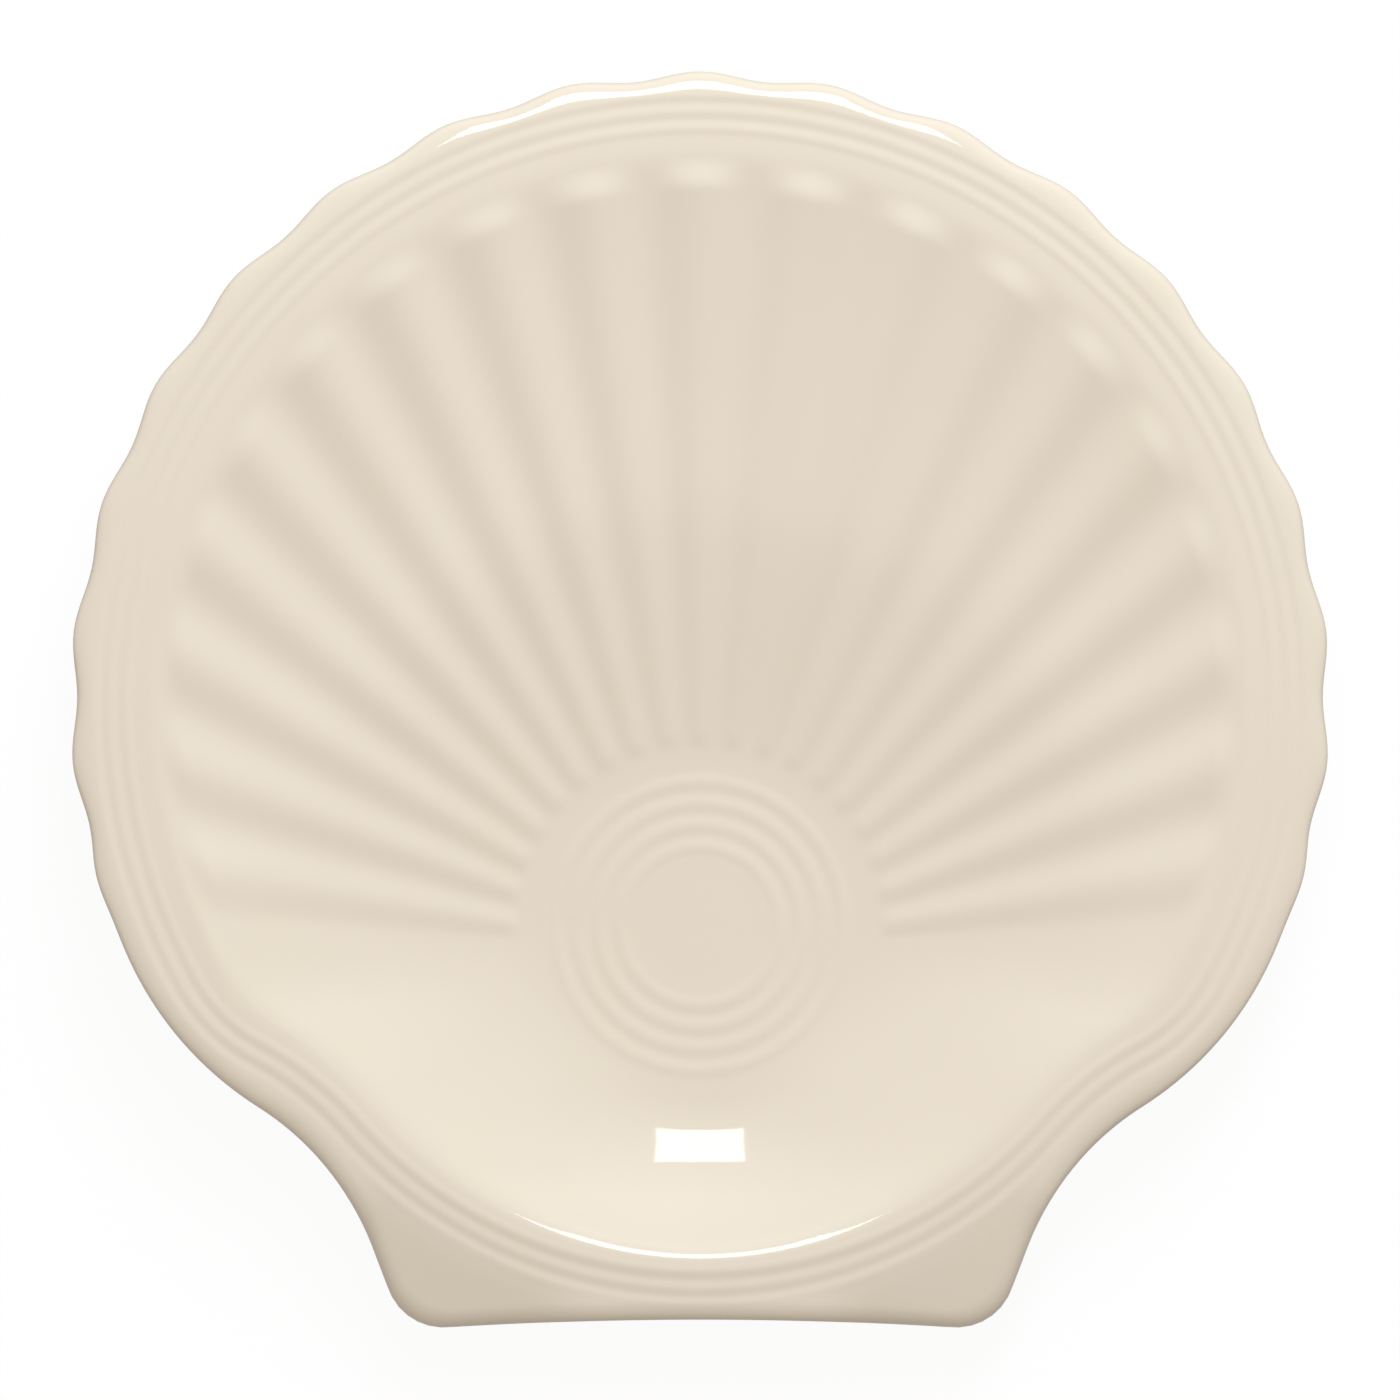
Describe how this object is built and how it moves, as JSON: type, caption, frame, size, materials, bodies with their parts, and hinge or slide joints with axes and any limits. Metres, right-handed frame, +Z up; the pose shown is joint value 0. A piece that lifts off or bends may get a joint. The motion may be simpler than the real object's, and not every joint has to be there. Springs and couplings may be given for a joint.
{
  "type": "shell shaped platter",
  "caption": "Glazed stoneware serving platter shaped like a scallop shell, with a ribbed sloping well, a round ringed hub, a ridged rim and two ears at the hinge end.",
  "frame": {"origin": "middle of the bounding box in X and Y, at the level of the foot ring's flat rest face", "axes": "+X across the platter, to which it is symmetric; +Y from the hinge end with its two ears towards the middle of the fan; +Z up, out of the open well"},
  "size_m": [0.2892, 0.2896, 0.0249],
  "materials": {
    "cream_glaze": "glossy cream glaze over stoneware"
  },
  "bodies": {
    "root": {"shell_platter": "cream_glaze"}
  },
  "joints": []
}
